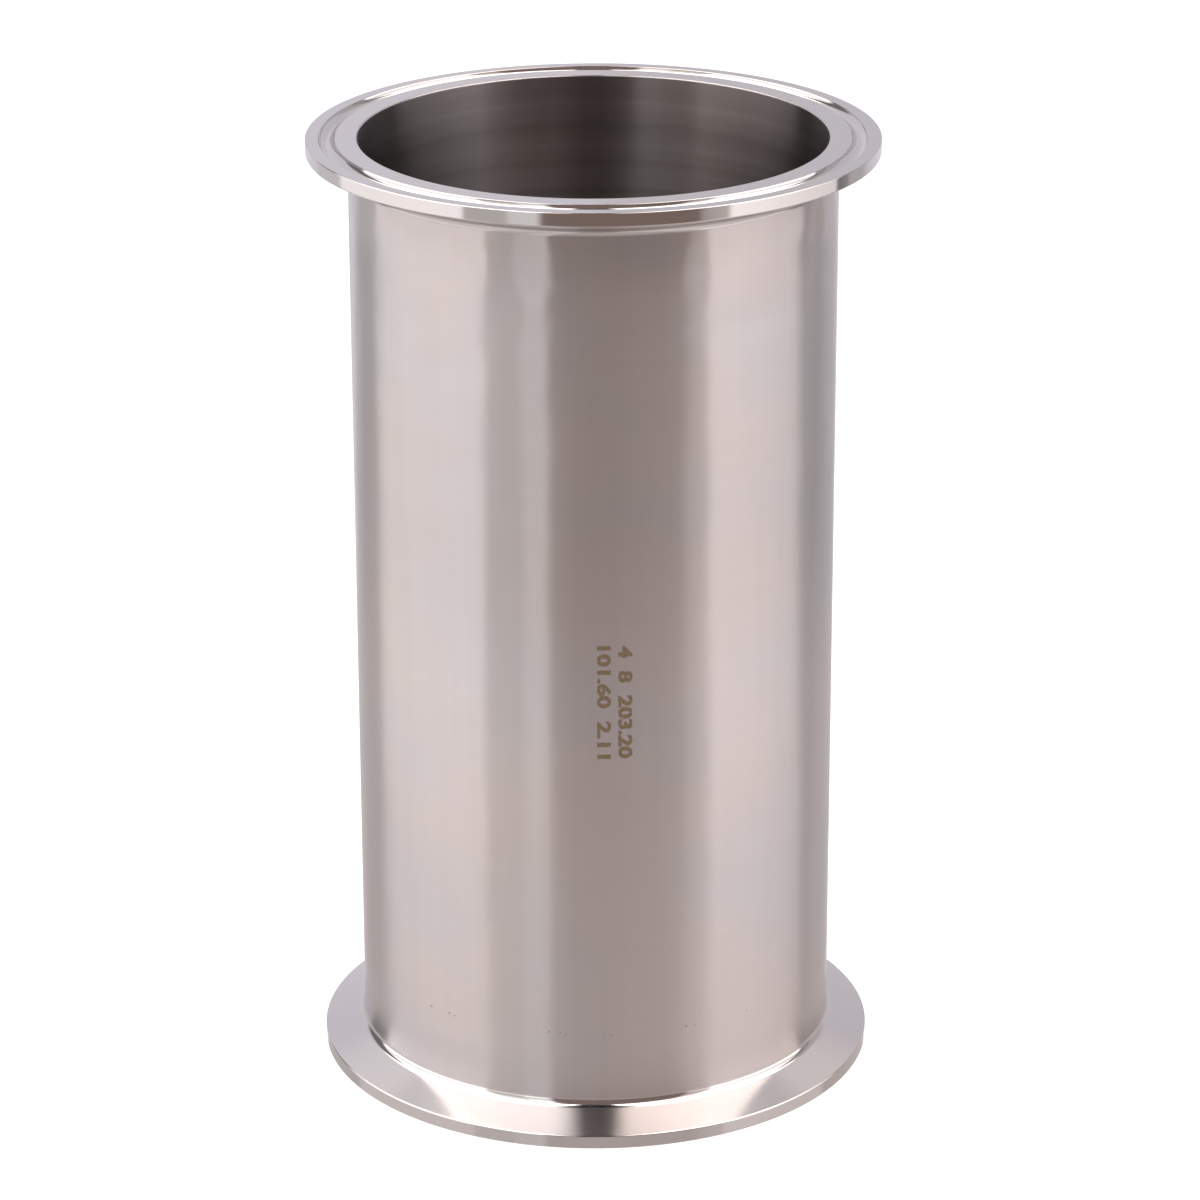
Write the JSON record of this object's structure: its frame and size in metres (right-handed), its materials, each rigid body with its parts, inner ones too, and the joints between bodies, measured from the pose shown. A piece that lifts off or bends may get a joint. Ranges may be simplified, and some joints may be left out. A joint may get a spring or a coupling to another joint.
{
  "type": "sanitary spool pipe",
  "caption": "Straight thin-walled stainless tube with a welded clamp ferrule and gasket groove at each end, for joining hygienic pipework.",
  "frame": {"origin": "centre of the lower sealing face, on the bore's axis", "axes": "+Z along the bore, from the lower sealing face to the upper one; X and Y are any two directions across it"},
  "size_m": [0.119, 0.119, 0.2032],
  "materials": {
    "brushed_tube": "satin",
    "polished_ferrule": "polished",
    "dressed_weld": "satin"
  },
  "bodies": {
    "root": {"tube_body": "brushed_tube", "lower_ferrule": "polished_ferrule", "upper_ferrule": "polished_ferrule", "lower_girth_weld": "dressed_weld", "upper_girth_weld": "dressed_weld"}
  },
  "joints": []
}
